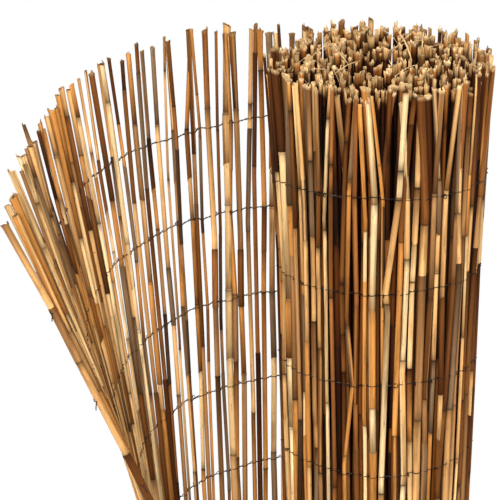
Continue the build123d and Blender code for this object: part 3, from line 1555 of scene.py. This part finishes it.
@dataclass
class BindingWire:
    """One row of wire: two strands that pass each reed on both sides and twist between reeds.

    Waves are the turn of each from reed to reed and its height as a share. Corners over a reed are given by
    shares of its radius. Corners of a twist are shares of the gap, and whether they are up, level or down.
    """

    row: int
    crossings: list[Crossing]
    rng: np.random.Generator
    radius: float = 0.48 * MM
    wave: float = 1.5 * MM
    waves: tuple[Span, ...] = ((0.23, 1.0), (0.61, 0.5), (1.9, 0.3))
    jitter: float = 0.45
    over_reed: Triple = (-0.75, 0.0, 0.75)
    twist: tuple[tuple[float, int], ...] = ((0.25, 1), (0.5, 0), (0.75, -1))
    tail_gap: float = 2 * MM
    tail: float = 9 * MM
    tail_shares: tuple[float, ...] = (0, 0.33, 0.66, 1)
    curl_chance: float = 0.06
    curl_radius: Span = (1.2 * MM, 2.4 * MM)
    curl_corners: int = 6

    def build(self, iron: bpy.types.Material) -> Piece:
        """Lay both strands.

        Args:
            iron: the wire's material.

        Returns:
            The piece.
        """
        self._wander()
        strands = [self._strand(side) for side in (1, -1)]
        piece = join_pieces(strands, f"wire_row_{self.row + 1}")
        self.dress(piece, iron)
        return piece

    def _wander(self) -> None:
        """Let the row wander up and down a little along the reeds."""
        phases = self.rng.uniform(0, FULL_TURN, len(self.waves))
        for number, crossing in enumerate(self.crossings):
            height = self.rng.normal(0, self.jitter)
            for (turn, share), phase in zip(self.waves, phases):
                height += share * math.sin(number * turn + phase)
            crossing.middle = crossing.middle + crossing.axis * height * self.wave

    def _points(self, side: int) -> list[Vector]:
        """Corners of one strand: over each reed in an arc, then once round the other strand.

        Args:
            side: 1 for the strand outside the reeds, -1 for the one inside.

        Returns:
            The corners, from the roll to the free end.
        """
        points = []
        last = len(self.crossings) - 1
        for number, crossing in enumerate(self.crossings):
            following = self.crossings[min(number + 1, last)]
            previous = self.crossings[max(number - 1, 0)]
            way = (following.middle - previous.middle).normalized()
            for share in self.over_reed:
                lift = crossing.radius * math.sqrt(1 - share * share) + self.radius
                place = crossing.middle + way * crossing.radius * share
                points.append(place + crossing.outward * side * lift)
            if number < last:
                points += self._twisted(side, crossing, following, way)
        return points + self._tail_points(side)

    def _twisted(self, side: int, crossing: Crossing, following: Crossing, way: Vector) -> list[Vector]:
        """Corners of one strand between two reeds, with a loose curl here and there.

        Args:
            side: 1 for the strand outside the reeds, -1 for the one inside.
            crossing: the reed that it comes from.
            following: the reed that it goes to.
            way: direction of the row.

        Returns:
            The corners.
        """
        start = crossing.middle + way * crossing.radius
        end = following.middle - way * following.radius
        points = []
        if side == 1 and self.rng.random() < self.curl_chance:
            points += self._curl(start.lerp(end, 0.5), crossing)
        for share, up in self.twist:
            aside = crossing.axis * up * side * self.radius
            aside -= crossing.outward * (1 - abs(up)) * side * self.radius
            points.append(start.lerp(end, share) + aside)
        return points

    def _curl(self, place: Vector, crossing: Crossing) -> list[Vector]:
        """Corners of a small loose curl of wire that stands out beside a reed.

        Args:
            place: where it starts.
            crossing: the reed.

        Returns:
            The corners, once round.
        """
        radius = self.rng.uniform(*self.curl_radius)
        points = []
        for corner in range(self.curl_corners):
            angle = FULL_TURN * corner / self.curl_corners
            out = crossing.outward * (crossing.radius + radius * (1 - math.cos(angle)))
            points.append(place + out + crossing.axis * radius * math.sin(angle))
        return points

    def _tail_points(self, side: int) -> list[Vector]:
        """Corners of the end of one strand, which stands out past the last reed.

        Args:
            side: 1 for the strand outside the reeds, -1 for the one inside.

        Returns:
            The corners.
        """
        before, last = self.crossings[-2:]
        way = (last.middle - before.middle).normalized()
        start = last.middle + way * (last.radius + self.tail_gap)
        points = []
        for number, share in enumerate(self.tail_shares):
            aside = last.axis * side * self.radius * (1 - 2 * (number % 2))
            points.append(start + way * self.tail * share + aside)
        return points

    def _strand(self, side: int) -> Piece:
        """Make a strand as a tube along its corners.

        Args:
            side: 1 for the strand outside the reeds, -1 for the one inside.

        Returns:
            The strand.
        """
        deselect_all()
        bpy.ops.curve.primitive_nurbs_path_add()
        strand = bpy.context.object
        curve = strand.data
        curve.splines.clear()
        spline = curve.splines.new("POLY")
        points = self._points(side)
        spline.points.add(len(points) - 1)
        for point, place in zip(spline.points, points):
            point.co = (*place, 1)
        curve.bevel_depth = self.radius
        curve.bevel_resolution = 0
        curve.use_fill_caps = True
        select_pieces([strand])
        bpy.ops.object.convert(target="MESH")
        return bpy.context.object

    def dress(self, piece: Piece, iron: bpy.types.Material) -> None:
        """Give the row its finish and its place in the frame."""
        set_in_frame(piece, iron, f"binding_wire_{self.row + 1}")


@dataclass(frozen=True)
class Lamp:
    """A square soft lamp: its name, place, size across and power in watts."""

    name: str
    place: Triple
    size: float
    power: float


@dataclass(frozen=True)
class Studio:
    """Pale floor, white surroundings, soft lamps in front, at the right and behind, and the camera."""

    floor_size: float = 40.0
    floor_colour: Screen = (243, 243, 243)
    floor_roughness: float = 0.9
    fade: Span = (0.5, 1.05)
    sky: float = 0.2
    lamps: tuple[Lamp, ...] = (
        Lamp("key", (-0.6, -3.2, 2.5), 1.5, 162.0),
        Lamp("fill", (2.4, -2.2, 1.8), 2.0, 20.0),
        Lamp("back", (0.7, 3.2, 2.3), 2.0, 70.0),
    )
    target: Triple = (-0.06, 0.0, 0.75)
    camera_place: Triple = (-0.131, -1.962, 1.449)
    camera_pitch: float = math.radians(18.0)
    camera_roll: float = math.radians(0.6)
    lens: float = 144.0
    sensor: float = 36.0

    def build(self) -> None:
        """Make the floor, the surroundings, the lamps and the camera."""
        self._floor()
        self._surroundings()
        for lamp in self.lamps:
            self._lamp(lamp)
        self._camera()
        bpy.context.scene.view_settings.view_transform = "Standard"

    @staticmethod
    def _seen(tree: NodeTree) -> Socket:
        """Find the rays that see the white background.

        Args:
            tree: the tree that asks.

        Returns:
            1 on rays of the camera, of gloss and of glass.
        """
        path = tree.add("ShaderNodeLightPath")
        first = tree.math("MAXIMUM", path.outputs["Is Camera Ray"], path.outputs["Is Glossy Ray"])
        return tree.math("MAXIMUM", first, path.outputs["Is Transmission Ray"])

    def _floor(self) -> None:
        """Make a pale floor that takes the shadow near the object and is white further out."""
        deselect_all()
        bpy.ops.mesh.primitive_plane_add(size=self.floor_size)
        floor = bpy.context.object
        floor.name = "floor"
        material, tree, shader = new_material("floor")
        shader.inputs["Base Color"].default_value = opaque(self.floor_colour)
        shader.inputs["Roughness"].default_value = self.floor_roughness
        white = tree.add("ShaderNodeEmission")
        place = tree.add("ShaderNodeTexCoord")
        far = tree.add("ShaderNodeVectorMath", operation="LENGTH")
        tree.link(place.outputs["Object"], far.inputs[0])
        fade = tree.ranged(far.outputs["Value"], self.fade)
        blend = tree.add("ShaderNodeMixShader")
        tree.link(tree.math("MULTIPLY", fade, self._seen(tree)), blend.inputs["Fac"])
        tree.link(shader.outputs["BSDF"], blend.inputs[1])
        tree.link(white.outputs["Emission"], blend.inputs[2])
        tree.link(blend.outputs["Shader"], material.node_tree.nodes["Material Output"].inputs["Surface"])
        floor.data.materials.append(material)

    def _surroundings(self) -> None:
        """Make it white all round to the eye, with a soft even light."""
        world = bpy.context.scene.world or bpy.data.worlds.new("surroundings")
        bpy.context.scene.world = world
        world.use_nodes = True
        tree = NodeTree(world.node_tree)
        background = world.node_tree.nodes["Background"]
        background.inputs["Color"].default_value = (1, 1, 1, 1)
        strength = tree.ranged(self._seen(tree), (0, 1), (self.sky, 1))
        tree.link(strength, background.inputs["Strength"])

    def _lamp(self, lamp: Lamp) -> None:
        """Put up a lamp that faces the object.

        Args:
            lamp: the lamp's sizes.
        """
        light = bpy.data.lights.new(lamp.name, "AREA")
        light.size = lamp.size
        light.energy = lamp.power
        holder = bpy.data.objects.new(lamp.name, light)
        holder.location = lamp.place
        way = Vector(self.target) - Vector(lamp.place)
        holder.rotation_euler = way.to_track_quat("-Z", "Y").to_euler()
        bpy.context.scene.collection.objects.link(holder)

    def _camera(self) -> None:
        """Put the camera at the photograph's viewpoint."""
        camera = bpy.data.cameras.new("camera")
        camera.lens = self.lens
        camera.sensor_width = self.sensor
        holder = bpy.data.objects.new("camera", camera)
        holder.location = self.camera_place
        level = Euler((math.pi / 2 - self.camera_pitch, 0, 0)).to_quaternion()
        holder.rotation_mode = "QUATERNION"
        holder.rotation_quaternion = level @ Quaternion((0, 0, 1), -self.camera_roll)
        bpy.context.scene.collection.objects.link(holder)
        bpy.context.scene.camera = holder


def main() -> None:
    """Build the pieces in order and report each."""
    logging.basicConfig(level=logging.INFO)
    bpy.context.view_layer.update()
    log.info("packed model of %d nodes", len(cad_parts))
    shape = MatShape()
    groups = EffectGroups()
    reed = ReedFinish(groups).material()
    iron = WireFinish(groups).material()
    maker = StemMaker(np.random.default_rng(SEED))
    maker.build()
    log.info("modelled %d full and %d plain stems", len(maker.full), len(maker.plain))
    loose = LooseTurn(shape, maker)
    pieces = [loose.build(reed)]
    rolled = RolledTurns(shape, maker)
    pieces += rolled.build(reed)
    pieces.append(Shreds(shape, maker.rng).build(reed))
    for row in range(shape.wire_rows):
        climb = loose.row_height(row) - shape.row_level(row)
        crossings = rolled.crossings(row, climb) + loose.crossings(row)
        pieces.append(BindingWire(row, crossings, maker.rng).build(iron))
    maker.remove()
    for piece in pieces:
        log.info("%s: %d faces", piece.name, len(piece.data.polygons))
    Studio().build()


if __name__ == "__main__":
    main()
